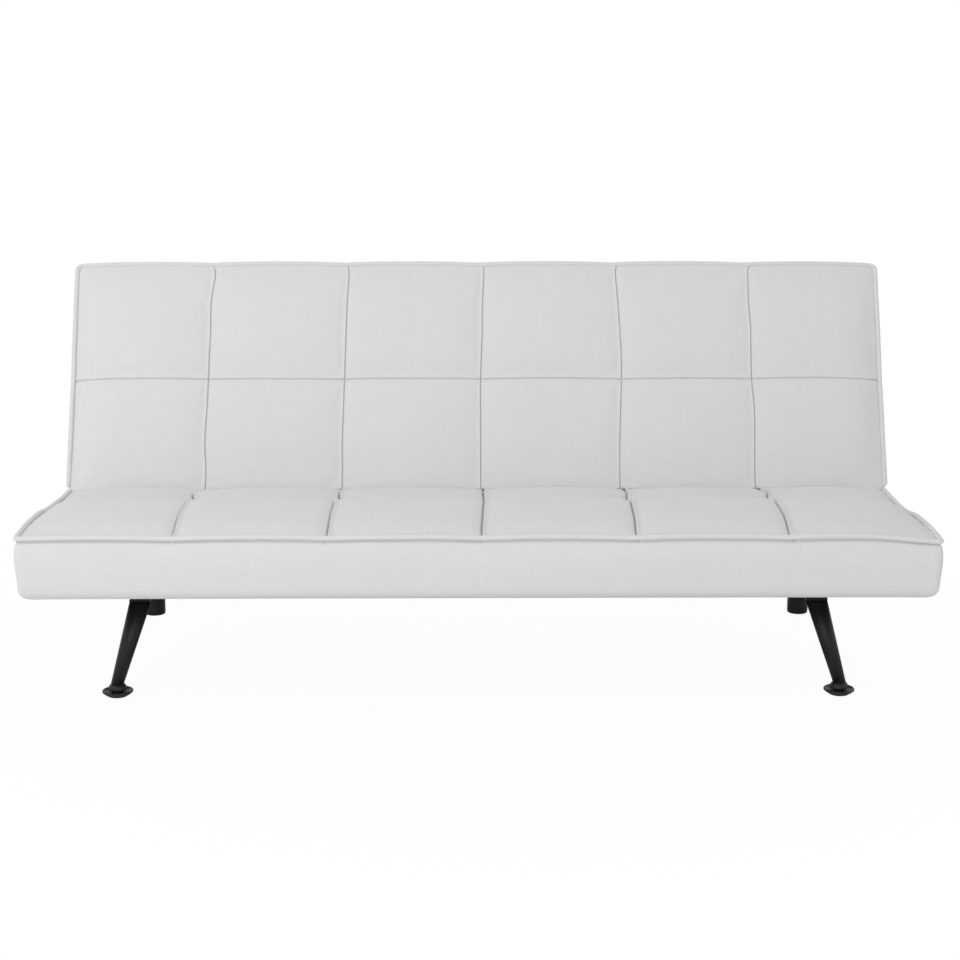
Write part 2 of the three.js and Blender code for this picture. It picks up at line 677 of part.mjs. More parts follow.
const glideDiscPiece = () => {
  const cup = glideBallRadius + glideBallClearance;
  const mouth = Math.acos((glideBossTop - glideBallHeight) / cup);
  const points = [[0, 0], [glideDiscFootRadius, 0], [glideDiscRadius, glideDiscRimLow],
    [glideDiscRadius, glideDiscTop - glideDiscEdge], [glideDiscRadius - glideDiscEdge, glideDiscTop],
    [glideDishRadius, glideDishHeight], [glideBossRadius, glideDishHeight], [glideBossRadius, glideBossTop]];
  const cupSteps = 6;
  for (let i = 0; i <= cupSteps; i += 1) {
    const angle = mouth + ((Math.PI - mouth) * i) / cupSteps;
    points.push([i === cupSteps ? 0 : cup * Math.sin(angle), glideBallHeight + cup * Math.cos(angle)]);
  }
  return turned(points);
};

for (const { name, sign } of sides) {
  const plateTop = baseBottomHeight - fitGap;
  const plateX = sign * legTopX;
  addPiece(base, `front_leg_plate_${name}`, box(plateX - legPlateWidth / 2, plateX + legPlateWidth / 2,
    frontLegY - legPlateLead, frontLegY - legPlateLead + legPlateLength,
    plateTop - legPlateThickness, plateTop), blackSteel());
  addPiece(base, `front_leg_${name}`, frontLegPiece(sign), blackSteel());
  const socket = addPiece(base, `front_glide_socket_${name}`, glideSocketPiece(), blackPlastic());
  const disc = addPiece(base, `front_glide_disc_${name}`, glideDiscPiece(), blackPlastic());
  for (const piece of [socket, disc]) {
    piece.position.set(sign * frontLegFootX, frontLegY, 0);
  }

  const rearLeg = roundBar(rearLegRadius, rearPadHeight, lowerBarBottom - fitGap);
  const rearPad = roundBar(rearLegRadius, 0, rearPadHeight - fitGap);
  addPiece(base, `rear_leg_${name}`, rearLeg, blackSteel());
  addPiece(base, `rear_foot_pad_${name}`, rearPad, blackPlastic());
  for (const geometry of [rearLeg, rearPad]) {
    geometry.translate(sign * rearLegX, rearLegY, 0);
  }
}

// The whole sofa bed, centred over the origin
const sofaBed = new THREE.Group();
sofaBed.add(base, hinge);
sofaBed.updateMatrixWorld(true);
const extent = new THREE.Box3().setFromObject(sofaBed, true);
sofaBed.position.y = -(extent.min.y + extent.max.y) / 2;
sofaBed.updateMatrixWorld(true);

export default sofaBed;
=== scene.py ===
# Click clack sofa bed: the looks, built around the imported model. Metres, +Z up, the front faces -Y.
import json
import math

import bmesh
import bpy
import numpy as np
from mathutils import Matrix, Vector, noise


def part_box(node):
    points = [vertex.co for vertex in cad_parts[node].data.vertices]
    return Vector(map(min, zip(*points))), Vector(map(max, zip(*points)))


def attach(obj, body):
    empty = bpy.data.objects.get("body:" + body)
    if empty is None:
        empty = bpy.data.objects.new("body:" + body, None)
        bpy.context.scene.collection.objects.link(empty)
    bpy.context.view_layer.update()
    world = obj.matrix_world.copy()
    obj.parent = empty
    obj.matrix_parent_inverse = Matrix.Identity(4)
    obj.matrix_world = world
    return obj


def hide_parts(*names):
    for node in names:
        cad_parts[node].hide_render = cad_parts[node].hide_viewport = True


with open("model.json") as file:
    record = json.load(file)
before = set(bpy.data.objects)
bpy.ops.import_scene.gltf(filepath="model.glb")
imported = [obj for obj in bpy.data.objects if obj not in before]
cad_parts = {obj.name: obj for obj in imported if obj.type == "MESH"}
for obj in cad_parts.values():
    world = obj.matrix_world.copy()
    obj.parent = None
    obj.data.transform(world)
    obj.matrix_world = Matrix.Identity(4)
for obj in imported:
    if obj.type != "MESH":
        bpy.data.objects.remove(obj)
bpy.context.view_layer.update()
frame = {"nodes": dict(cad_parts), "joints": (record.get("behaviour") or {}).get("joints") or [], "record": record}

MM = 0.001
JOINTS = {joint["name"]: joint for joint in frame["joints"]}
HINGE = Vector(JOINTS["back_recline"]["pos_m"])
LEAN = math.radians(JOINTS["back_recline"]["range_deg"][1])

# Camera, fitted to the photograph's outlines with the sofa 1.78 m wide
CAMERA_DISTANCE = 3.575
CAMERA_HEIGHT = 1.235
CAMERA_ASIDE = -31 * MM
CAMERA_TILT = math.radians(12)
CAMERA_TURN = math.radians(-0.51)
CAMERA_LENS = 72.3
SENSOR_WIDTH = 36

# Light and background
WORLD_STRENGTH = 0.665
KEY_LIGHT = {"place": (-2.8, -2.4, 2.9), "target": (-0.1, 0, 0.4), "size": (1.6, 1.4),
             "power": 36}
FRONT_LIGHT = {"place": (-0.7, -4.4, 1.5), "target": (0, 0, 0.35), "size": (2.4, 1.6),
               "power": 26.5}
FLOOR_HALF = 9
FLOOR_COLOR = (0.92, 0.92, 0.92, 1)
# Near the sofa the camera sees this share of plain white, mixed with the lit floor and its
# shadow; between the two distances from the middle the share grows to 1
FLOOR_WHITE_SHARE = 0.96
FLOOR_SHADOW_REACH = (0.95, 1.6)

# Cloth
CLOTH_COLOR = (0.735, 0.735, 0.727)
CLOTH_DARK, CLOTH_LIGHT = 0.955, 1.035
THREAD_PITCH = 1.15 * MM
SLUB_FINE, SLUB_LONG = 420, 18

# Cushions
COLUMNS = 6
SEAM_ROW_SHARES = {"seat": 0.4951, "back": 0.476}
TOP_DEPTH = 16 * MM
GRID_STEP = 12 * MM
# Cross sections of the sewn folds: (place across the seam, height), in millimetres
COLUMN_FOLD = [(-9, 0.1), (-6, 0.4), (-3.8, 1.0), (-2.3, 1.8), (-1.3, 2.1), (-0.6, 0.2),
               (0, -5.4), (0.6, -3.6), (1.3, -1.8), (2.4, -0.9), (4.2, -0.4), (9, 0)]
ROW_FOLD = [(-9, 0), (-4.2, -0.4), (-2.6, -0.8), (-1.5, -1.3), (-0.7, -2.2), (-0.1, -3.2),
            (0.6, 0.5), (1.4, 1.6), (2.4, 1.4), (3.8, 0.8), (6, 0.3), (9, 0)]
FOLD_REACH = 9 * MM
FOLD_MARGIN = 5 * MM
SEAM_WANDER = 1.6 * MM
WANDER_REACH = 100 * MM
# The skin's levels from the top down: points on the top edge's arc, places down the side, and
# points on the bottom edge's arc; a fold and a stray seam fade over them
TOP_ARC = (0, 0.25, 0.5, 0.72, 0.9, 1)
SIDE_SHARES = (0, 0.05, 0.25, 0.5, 0.75, 1)
BOTTOM_ARC = (0.3, 0.65, 1)
LEVELS = len(TOP_ARC) + len(SIDE_SHARES) - 1 + len(BOTTOM_ARC)
SEAM_LEVELS = (1, 1, 0.8, 0.3)
FOLD_HOLD = np.array(SEAM_LEVELS + (0,) * (LEVELS - len(SEAM_LEVELS)))
LEVEL_HOLD = np.array([1] * len(TOP_ARC) + [1 - share for share in SIDE_SHARES[1:]]
                      + [0] * len(BOTTOM_ARC))
# Radii of the edges and of the corners seen from above, and how far the sides stand out, pull
# in between the corners, wave and droop
TOP_EDGE_RADIUS = 12 * MM
HINGE_EDGE_RADIUS = {"seat": 6 * MM, "back": 2 * MM}
BOTTOM_EDGE_RADIUS = 24 * MM
PLAN_CORNER_RADIUS = {"seat": 6 * MM, "back": 14 * MM}
CORNER_PUSH = {"seat": 2 * MM, "back": 0}
SIDE_SWELL = 2.2 * MM
SWELL_RUN, SWELL_POWER = 1.4, 0.45
SIDE_PULL = 3 * MM
FAR_PULL = {"seat": 3 * MM, "back": -3 * MM}
FAR_PULL_POWER = 6
# How far the cloth tucks in under the welt at each point of the top edge's arc
SIDE_TUCK = {"seat": (0, 1 * MM, 1.6 * MM, 1.6 * MM, 1 * MM, 0.5 * MM),
             "back": (0, 0, 0, 0, 0.5 * MM, 0.5 * MM)}
FAR_TUCK = {"seat": (0, 0, 0, 6 * MM, 4 * MM, 1 * MM), "back": (0, 0, 0, 0, 0, 1 * MM)}
HINGE_FLARE = {"seat": 0, "back": 4 * MM}
FAR_FLARE = {"seat": 3 * MM, "back": 0}
HINGE_LIP = {"seat": (0, 0), "back": (3 * MM, 8 * MM)}
LIP_PLACE = 95 * MM
LIP_RUN = 30 * MM
SIDE_DROOP = {"seat": 9 * MM, "back": 0}
FAR_WAVE = {"seat": 0, "back": 2.2 * MM}
PUFF_POWER = 2.4
SIDE_PUFF_POWER = 4
# The recess for the frame, and the slots for the hinge arms at both ends
RECESS_INSET = 30 * MM
RECESS_DEPTH = 42 * MM
SLOT_INNER = 838 * MM
SLOT_OUTER = 868 * MM
SLOT_DEPTH = 64 * MM
SLOT_MOUTH = 26 * MM
SLOT_KNEE = (30 * MM, -14 * MM)
SLOT_END = -68 * MM
SLOT_TOP = {"seat": 3.5 * MM, "back": 10 * MM}
CUT_OVERRUN = 30 * MM
# The pressure simulation that swells the cloth between its seams
SIM_FRAMES = 20
SIM_CAP = 2.2 * MM
SIM_SETTINGS = {"quality": 4, "mass": 0.35, "tension_stiffness": 12, "compression_stiffness": 8,
                "shear_stiffness": 4, "bending_stiffness": 1.2, "use_pressure": True,
                "uniform_pressure_force": 4, "shrink_min": -0.012}
# Small folds of the cover: heights in millimetres, and how far the creases lie from the row seam
BROAD_FOLD = 1.3
FINE_FOLD = 0.25
PUCKER = 0.8
PUCKER_REACH = 25 * MM
UNREST_BELOW_TOP = 0.45
CREASE_PLACE = 115 * MM
CREASE_WIDTH = 60 * MM

# Rise of the top at each line of the two rows, from the hinge to the far edge, in shares of the
# crest: along the column seams, along the middle of the columns, and along the side edges
INNER_ROW = (0, 0.12, 0.36, 0.64, 0.88)
OUTER_ROW = (0, 0.18, 0.4, 0.66, 0.88, 1)
CREST = {"seat": 36 * MM, "back": 28 * MM}
SEAM_RISE = {"seat": (-0.28, -0.16, 0.06, 0.16, 0.17, 0.25, 0.87, 0.78, 0.59, 0.33, 0.12),
             "back": (0, 0.15, 0.4, 0.55, 0.57, 0.5, 0.64, 0.64, 0.54, 0.29, 0)}
MIDDLE_RISE = {"seat": (-0.27, -0.1, 0.28, 0.53, 0.67, 0.74, 1, 0.95, 0.79, 0.48, 0.19),
               "back": (0.14, 0.36, 0.68, 0.86, 0.91, 0.79, 0.96, 1, 0.86, 0.46, 0.11)}
SIDE_RISE = {"seat": (-0.33, -0.32, -0.26, -0.15, -0.05, 0.02, 0.2, 0.28, 0.29, 0.22, 0.14),
             "back": (-0.16, -0.14, -0.08, 0.02, 0.07, 0.04, 0.18, 0.29, 0.25, 0.11, 0)}

# How far the five column seams stray across, in millimetres, at some places along the panel
STRAY_PLACES = {"seat": (50, 97, 209, 300, 420, 500),
                "back": (44, 105, 167, 230, 293, 356, 419, 483)}
STRAYS = {"seat": ((-30, -34, -19, -17, -19, -14), (-28, -27, -18, -16, -15, -11),
                   (-14, -12, -15, -12, -8, -5), (-1, 1, -4, -2, 0, 0), (-8, 14, 5, 3, 6, 4)),
          "back": ((-4.5, -8.3, -6, -5, -4.3, -2.5, -3.4, 4),
                   (-1.2, -2, -0.6, 0.6, 2, 3.4, 4.8, 8),
                   (6.5, 6.5, 6.5, 6.5, 8.7, 10.9, 11.5, 15),
                   (16.3, 17.2, 20.2, 23.2, 24.1, 22, 19, 15.5),
                   (17.7, 19.2, 20.8, 18.1, 17.6, 19, 16.5, 17))}

# Piping
PIPING_RADIUS = 5 * MM
PIPING_SIDE_ANGLE = math.radians(45)
PIPING_FAR_ANGLE = {"seat": math.radians(48), "back": math.radians(82)}
PIPING_REACH = {"seat": TOP_EDGE_RADIUS + 2.8 * MM, "back": TOP_EDGE_RADIUS + 2.2 * MM}
PIPING_STEP = 6 * MM
PIPING_START = 11 * MM
PIPING_CORNER_STEPS = 9
PIPING_PULL_SHARE = 0.7
PIPING_AROUND = 14
PIPING_WOBBLE = 0.06
PIPING_SWAY = 0.8 * MM
# The welt's ends dive into the fold: steps (inward, back, down), in millimetres
PIPING_TAIL = ((0.5, 3, 1), (2, 6, 4), (6, 8, 11))

# Steel and feet: profiles are (radius, height) in millimetres, and AXIS is the radius of the
# small ring that closes a turned piece at its axis
ROUND_STEPS = 72
CORNER_STEPS = 3
TUBE_EDGE = 2.2 * MM
PLATE_EDGE = 0.7 * MM
SHARP_ANGLE = math.radians(35)
LONG_EDGE = 60 * MM
AXIS = 0.1
LEG_TOP_INSET = 21 * MM
FRONT_LEG_TIP, FRONT_LEG_FOOT, FRONT_LEG_TOP = 12.6, 13.2, 22
REAR_LEG_RADIUS = 23.6
FOOT_DOME = [(AXIS, 12.5), (16.5, 12.5), (18.2, 13.5), (18.6, 16), (17.8, 19.4), (15.8, 22.6),
             (13.2, 24.7), (11, 25.2), (AXIS, 25.2)]
FOOT_DISC = [(AXIS, 0), (19.6, 0), (21, 1.2), (26, 4.4), (30.4, 7.8), (31.2, 9.4), (30.9, 11),
             (29.6, 12), (27.6, 11.8), (24.5, 10.4), (20, 9.4), (9.6, 9.4), (9.3, 10.6), (6, 11.5),
             (AXIS, 11.9)]
REAR_PAD = [(AXIS, 0), (22, 0), (23, 1), (23, 3.7), (AXIS, 3.7)]


def clear_default_scene():
    for name in ("Cube", "Light", "Camera"):
        if name in bpy.data.objects:
            bpy.data.objects.remove(bpy.data.objects[name])


def link_object(name, data):
    piece = bpy.data.objects.new(name, data)
    bpy.context.scene.collection.objects.link(piece)
    return piece


# Materials

def new_material(name):
    material = bpy.data.materials.new(name)
    material.use_nodes = True
    tree = material.node_tree
    return material, tree, tree.nodes["Principled BSDF"]


def add_node(tree, kind, **values):
    node = tree.nodes.new(kind)
    for key, value in values.items():
        setattr(node, key, value)
    return node


def fill(node, values):
    for key, value in values.items():
        node.inputs[key].default_value = value


def object_place(tree):
    return add_node(tree, "ShaderNodeTexCoord").outputs["Object"]


def ramp(tree, source, low, high, color_low, color_high):
    node = add_node(tree, "ShaderNodeValToRGB")
    node.color_ramp.elements[0].position = low
    node.color_ramp.elements[1].position = high
    node.color_ramp.elements[0].color = (*color_low, 1)
    node.color_ramp.elements[1].color = (*color_high, 1)
    tree.links.new(source, node.inputs["Fac"])
    return node.outputs["Color"]


def noise_texture(tree, vector, scale, detail=4, roughness=0.55):
    node = add_node(tree, "ShaderNodeTexNoise")
    fill(node, {"Scale": scale, "Detail": detail, "Roughness": roughness})
    tree.links.new(vector, node.inputs["Vector"])
    return node.outputs["Fac"]


def mapped(tree, vector, scale=(1, 1, 1), rotation=(0, 0, 0)):
    node = add_node(tree, "ShaderNodeMapping")
    fill(node, {"Scale": scale, "Rotation": rotation})
    tree.links.new(vector, node.inputs["Vector"])
    return node.outputs["Vector"]


def math_node(tree, operation, first, second):
    node = add_node(tree, "ShaderNodeMath", operation=operation)
    for slot, value in zip(node.inputs, (first, second)):
        if isinstance(value, (int, float)):
            slot.default_value = value
        else:
            tree.links.new(value, slot)
    return node.outputs["Value"]


def bump(tree, height, distance, strength, normal=None):
    node = add_node(tree, "ShaderNodeBump")
    fill(node, {"Distance": distance, "Strength": strength})
    tree.links.new(height, node.inputs["Height"])
    if normal is not None:
        tree.links.new(normal, node.inputs["Normal"])
    return node.outputs["Normal"]


def thread_bands(tree, vector, axis, pitch, distortion=0.6):
    """Threads across one axis: the wave texture repeats every 2 pi / (20 * its scale)."""
    node = add_node(tree, "ShaderNodeTexWave", wave_type="BANDS", bands_direction=axis,
                    wave_profile="SIN")
    fill(node, {"Scale": 2 * math.pi / (20 * pitch), "Distortion": distortion, "Detail": 2,
                "Detail Scale": 3})
    tree.links.new(vector, node.inputs["Vector"])
    return node.outputs["Fac"]


def linen(name, turn, color):
    """A pale plain-woven cloth: crossing threads, slubs both ways, and a soft uneven tone."""
    material, tree, shader = new_material(name)
    place = object_place(tree)
    panel = mapped(tree, place, rotation=(-turn, 0, 0))
    weave = thread_bands(tree, panel, "X", THREAD_PITCH)
    for axis in ("Y", "Z"):
        weave = math_node(tree, "ADD", weave, thread_bands(tree, panel, axis, THREAD_PITCH))
    across = mapped(tree, panel, scale=(SLUB_LONG, SLUB_FINE, SLUB_FINE))
    slub_across = noise_texture(tree, across, 1, detail=3)
    along = mapped(tree, panel, scale=(SLUB_FINE, SLUB_LONG, SLUB_LONG))
    slub_along = noise_texture(tree, along, 1, detail=3)
    slubs = math_node(tree, "ADD", slub_across, slub_along)
    tone = noise_texture(tree, panel, 5.5, detail=5)
    mottle = noise_texture(tree, panel, 60, detail=4)
    mixed = math_node(tree, "ADD", math_node(tree, "MULTIPLY", slubs, 0.32),
                      math_node(tree, "MULTIPLY", tone, 0.2))
    mixed = math_node(tree, "ADD", mixed, math_node(tree, "MULTIPLY", mottle, 0.16))
    dark = tuple(channel * CLOTH_DARK for channel in color)
    light = tuple(min(channel * CLOTH_LIGHT, 1) for channel in color)
    tree.links.new(ramp(tree, mixed, 0.22, 0.62, dark, light), shader.inputs["Base Color"])
    normal = bump(tree, weave, 0.2 * MM, 0.13)
    normal = bump(tree, slubs, 0.35 * MM, 0.22, normal)
    tree.links.new(normal, shader.inputs["Normal"])
    fill(shader, {"Roughness": 0.93, "Specular IOR Level": 0.2, "Sheen Weight": 0.18,
                  "Sheen Roughness": 0.5})
    return material


def satin_black_steel():
    material, tree, shader = new_material("black_satin_steel")
    place = object_place(tree)
    peel = noise_texture(tree, place, 900, detail=2)
    scuffs = noise_texture(tree, mapped(tree, place, scale=(40, 40, 9)), 1, detail=6,
                           roughness=0.7)
    tree.links.new(ramp(tree, scuffs, 0.35, 0.75, (0.011, 0.0105, 0.012), (0.021, 0.0205, 0.023)),
                   shader.inputs["Base Color"])
    tree.links.new(ramp(tree, scuffs, 0.3, 0.8, (0.34,) * 3, (0.46,) * 3),
                   shader.inputs["Roughness"])
    tree.links.new(bump(tree, peel, 0.05 * MM, 0.35), shader.inputs["Normal"])
    fill(shader, {"Specular IOR Level": 0.22})
    return material


def zinc_steel():
    material, tree, shader = new_material("zinc_steel")
    place = object_place(tree)
    spangle = noise_texture(tree, place, 160, detail=3)
    streaks = noise_texture(tree, mapped(tree, place, scale=(60, 900, 60)), 1, detail=3)
    tree.links.new(ramp(tree, spangle, 0.3, 0.7, (0.42, 0.43, 0.44), (0.6, 0.61, 0.62)),
                   shader.inputs["Base Color"])
    tree.links.new(ramp(tree, streaks, 0.2, 0.8, (0.3,) * 3, (0.48,) * 3),
                   shader.inputs["Roughness"])
    tree.links.new(bump(tree, streaks, 0.04 * MM, 0.4), shader.inputs["Normal"])
    fill(shader, {"Metallic": 0.9})
    return material


def moulded(name, low, high, roughness, grain_scale):
    material, tree, shader = new_material(name)
    place = object_place(tree)
    grain = noise_texture(tree, place, grain_scale, detail=3)
    wear = noise_texture(tree, place, 35, detail=5)
    tree.links.new(ramp(tree, wear, 0.35, 0.7, low, high), shader.inputs["Base Color"])
    tree.links.new(bump(tree, grain, 0.08 * MM, 0.4), shader.inputs["Normal"])
    fill(shader, {"Roughness": roughness, "Specular IOR Level": 0.3})
    return material


def woven_strap():
    material, tree, shader = new_material("elastic_webbing")
    place = object_place(tree)
    ribs = thread_bands(tree, place, "X", 5 * MM, 0.1)
    picks = thread_bands(tree, place, "Y", 2 * MM, 0.3)
    tree.links.new(ramp(tree, ribs, 0.3, 0.6, (0.05, 0.04, 0.032), (0.12, 0.1, 0.08)),
                   shader.inputs["Base Color"])
    height = math_node(tree, "ADD", ribs, picks)
    tree.links.new(bump(tree, height, 0.5 * MM, 0.6), shader.inputs["Normal"])
    fill(shader, {"Roughness": 0.9})
    return material


def non_woven():
    material, tree, shader = new_material("non_woven_cover")
    place = object_place(tree)
    fibres = noise_texture(tree, place, 700, detail=6, roughness=0.7)
    dimples = add_node(tree, "ShaderNodeTexVoronoi")
    fill(dimples, {"Scale": 420})
    tree.links.new(place, dimples.inputs["Vector"])
    height = math_node(tree, "ADD", fibres, dimples.outputs["Distance"])
    tree.links.new(ramp(tree, fibres, 0.3, 0.7, (0.012, 0.012, 0.013), (0.035, 0.035, 0.037)),
                   shader.inputs["Base Color"])
    tree.links.new(bump(tree, height, 0.3 * MM, 0.5), shader.inputs["Normal"])
    fill(shader, {"Roughness": 0.95})
    return material


# Cushion geometry, in panel coordinates: X across, Y away from the hinge, Z up from the hinge axis

class Panel:
    """A cushion's measures, read from its CAD solid, and how strongly its cloth folds."""

    def __init__(self, name, matrix, seed, fold_width, fold_depth, row_depth, crease):
        node = frame["nodes"][f"{name}_cushion"]
        inverse = matrix.inverted()
        points = np.array([inverse @ vertex.co for vertex in node.data.vertices])
        self.name = name
        self.matrix = matrix
        self.half = float(points[:, 0].max())
        self.near = float(points[:, 1].min())
        self.far = float(points[:, 1].max())
        self.bottom = float(points[:, 2].min())
        self.top = TOP_DEPTH
        self.thickness = self.top - self.bottom
        self.seam = self.near + (self.far - self.near) * SEAM_ROW_SHARES[name]
        self.seed = seed
        self.fold_width, self.fold_depth = fold_width, fold_depth
        self.row_depth, self.crease = row_depth, crease
        self.column = 2 * self.half / COLUMNS
        self.column_seams = [-self.half + self.column * k for k in range(1, COLUMNS)]
        inner = [self.near + share * (self.seam - self.near) for share in INNER_ROW]
        outer = [self.seam + share * (self.far - self.seam) for share in OUTER_ROW]
        self.lines = np.array(inner + outer)


def bulge(share, power=PUFF_POWER):
    return 1 - np.abs(2 * np.clip(share, 0, 1) - 1) ** power


def smooth_step(value):
    value = np.clip(value, 0, 1)
    return value * value * (3 - 2 * value)


def smooth_curve(places, values, at):
    """A smooth curve through values at rising places."""
    places, values = np.asarray(places, float), np.asarray(values, float)
    slopes = np.gradient(values, places)
    k = np.clip(np.searchsorted(places, at) - 1, 0, len(places) - 2)
    run = places[k + 1] - places[k]
    t = np.clip((at - places[k]) / run, 0, 1)
    return ((1 + 2 * t) * (1 - t) ** 2 * values[k] + t * (1 - t) ** 2 * run * slopes[k]
            + t * t * (3 - 2 * t) * values[k + 1] + t * t * (t - 1) * run * slopes[k + 1])


def top_rise(panel, x, y):
    """How far the padded top stands above its flat plane."""
    crest = CREST[panel.name]
    seam = smooth_curve(panel.lines, SEAM_RISE[panel.name], y) * crest
    middle = smooth_curve(panel.lines, MIDDLE_RISE[panel.name], y) * crest
    side = smooth_curve(panel.lines, SIDE_RISE[panel.name], y) * crest
    from_side = (panel.half - np.abs(x)) / panel.column
    at_side = from_side < 0.5
    base = np.where(at_side, side, seam)
    column_share = ((x + panel.half) / panel.column) % 1
    shape = np.where(at_side, bulge(from_side, SIDE_PUFF_POWER), bulge(column_share))
    along = (y - panel.near) / (panel.far - panel.near)
    to_side = 1 - (x + panel.half) / (0.5 * panel.column)
    droop = SIDE_DROOP[panel.name] * smooth_step(to_side) * smooth_step(2.5 * along)
    return base + (middle - base) * shape - droop


def side_shift(panel, y):
    """How far the side edges stand out at each place along the panel."""
    along = np.clip((y - panel.near) / (panel.far - panel.near), 0, 1)
    far = smooth_step(along)
    return HINGE_FLARE[panel.name] * (1 - far) + FAR_FLARE[panel.name] * far


def far_shift(panel, x):
    """How far the far edge waves out between the column seams."""
    return FAR_WAVE[panel.name] * (bulge(((x + panel.half) / panel.column) % 1) - 0.5)


def grid_lines(low, high, seams, fold, width):
    """Even lines between the seams, and close ones across each seam where its fold shows."""
    offsets = [offset * width * MM for offset, _ in fold]
    stops = [low] + list(seams) + [high]
    clear = FOLD_REACH * width + FOLD_MARGIN
    lines = []
    for index, (start, end) in enumerate(zip(stops[:-1], stops[1:])):
        last = index == len(stops) - 2
        inner_start = start + (clear if index else 0)
        inner_end = end - (0 if last else clear)
        count = max(int(round((inner_end - inner_start) / GRID_STEP)), 4)
        lines.extend(np.linspace(inner_start, inner_end, count + 1))
        if not last:
            lines.extend(end + offset for offset in offsets)
    return np.array(lines)


def cushion_shell(panel):
    """The skin as a box of grid faces: its grid lines, each point's place on them, the faces."""
    xs = grid_lines(-panel.half, panel.half, panel.column_seams, COLUMN_FOLD, panel.fold_width)
    ys = grid_lines(panel.near, panel.far, [panel.seam], ROW_FOLD, 1)
    nx, ny, nz = len(xs) - 1, len(ys) - 1, LEVELS - 1
    numbers, faces = {}, []

    def add_face(*corners):
        faces.append([numbers.setdefault(corner, len(numbers)) for corner in corners])

    for i in range(nx):
        for j in range(ny):
            add_face((i, j, 0), (i + 1, j, 0), (i + 1, j + 1, 0), (i, j + 1, 0))
            add_face((i, j, nz), (i, j + 1, nz), (i + 1, j + 1, nz), (i + 1, j, nz))
    for k in range(nz):
        for i in range(nx):
            add_face((i, 0, k + 1), (i + 1, 0, k + 1), (i + 1, 0, k), (i, 0, k))
            add_face((i, ny, k), (i + 1, ny, k), (i + 1, ny, k + 1), (i, ny, k + 1))
        for j in range(ny):
            add_face((0, j, k), (0, j + 1, k), (0, j + 1, k + 1), (0, j, k + 1))
            add_face((nx, j, k + 1), (nx, j + 1, k + 1), (nx, j + 1, k), (nx, j, k))
    return xs, ys, np.array(list(numbers)), np.array(faces)


def place_shell(panel, x, y, level):
    """The skin's points: grid places bent over the top edge, down the sides and underneath."""
    half_y = (panel.far - panel.near) / 2
    middle = (panel.far + panel.near) / 2
    at_hinge = (y <= panel.near) & (np.abs(x) < panel.half)
    hinge_half = (y < middle) & (np.abs(x) < panel.half)
    radius_y = np.where(hinge_half, HINGE_EDGE_RADIUS[panel.name], TOP_EDGE_RADIUS)
    radius = np.where(at_hinge, HINGE_EDGE_RADIUS[panel.name], TOP_EDGE_RADIUS)
    inset_x, inset_y, drop = np.zeros((3, len(x)))
    lowest = panel.thickness - BOTTOM_EDGE_RADIUS
    for k in range(LEVELS):
        at = level == k
        if k < len(TOP_ARC):
            angle = TOP_ARC[k] * math.pi / 2
            inset_x[at] = TOP_EDGE_RADIUS * (1 - math.sin(angle)) + SIDE_TUCK[panel.name][k]
            tuck = np.where(hinge_half[at], 0, FAR_TUCK[panel.name][k])
            inset_y[at] = radius_y[at] * (1 - math.sin(angle)) + tuck
            drop[at] = radius[at] * (1 - math.cos(angle))
        elif k < len(TOP_ARC) + len(SIDE_SHARES) - 1:
            share = SIDE_SHARES[k - len(TOP_ARC) + 1]
            drop[at] = radius[at] + (lowest - radius[at]) * share
            swelling = math.sin(math.pi * min(share * SWELL_RUN, 1)) ** SWELL_POWER
            inset_x[at] = inset_y[at] = -SIDE_SWELL * swelling
        else:
            angle = BOTTOM_ARC[k - LEVELS] * math.pi / 2
            inset_x[at] = inset_y[at] = BOTTOM_EDGE_RADIUS * (1 - math.cos(angle))
            drop[at] = lowest + BOTTOM_EDGE_RADIUS * math.sin(angle)
    inset_y = np.where(at_hinge & (level >= len(TOP_ARC)) & (drop < lowest), 0, inset_y)
    along_x, along_y = np.abs(x) / panel.half, np.abs(y - middle) / half_y
    inset_x += np.where(at_hinge, 0, SIDE_PULL * (1 - along_y ** 2)) - side_shift(panel, y)
    pull = FAR_PULL[panel.name] * (1 - along_x ** FAR_PULL_POWER)
    inset_y += np.where(hinge_half, 0, pull - far_shift(panel, x))
    corner = smooth_step((along_x - 0.97) / 0.03) * smooth_step((along_y - 0.9) / 0.1)
    corner *= y > middle
    inset_x -= CORNER_PUSH[panel.name] * corner
    inset_y -= CORNER_PUSH[panel.name] * corner
    middle_lip, side_lip = HINGE_LIP[panel.name]
    at_end = smooth_step((np.abs(x) - (panel.half - LIP_PLACE)) / LIP_RUN)
    lip = middle_lip + (side_lip - middle_lip) * at_end
    inset_y -= np.where(y <= panel.near, lip * LEVEL_HOLD[level], 0)
    corner_radius = np.where(y > middle, PLAN_CORNER_RADIUS[panel.name], PLAN_CORNER_RADIUS["seat"])
    core_x = np.clip(np.abs(x) - (panel.half - corner_radius), 0, None)
    core_y = np.clip(np.abs(y - middle) - (half_y - corner_radius), 0, None)
    length = np.hypot(core_x, core_y)
    scale = np.where(length > 0, np.maximum(core_x, core_y) / np.maximum(length, 1e-9), 1)
    px = np.sign(x) * (np.abs(x) - core_x * (1 - scale)) * (1 - inset_x / panel.half)
    py = np.sign(y - middle) * (np.abs(y - middle) - core_y * (1 - scale)) * (1 - inset_y / half_y)
    py += middle
    fade = np.clip(1 - drop / (panel.thickness / 2), 0, 1)
    return np.stack([px, py, panel.top - drop + top_rise(panel, x, y) * fade], axis=1)


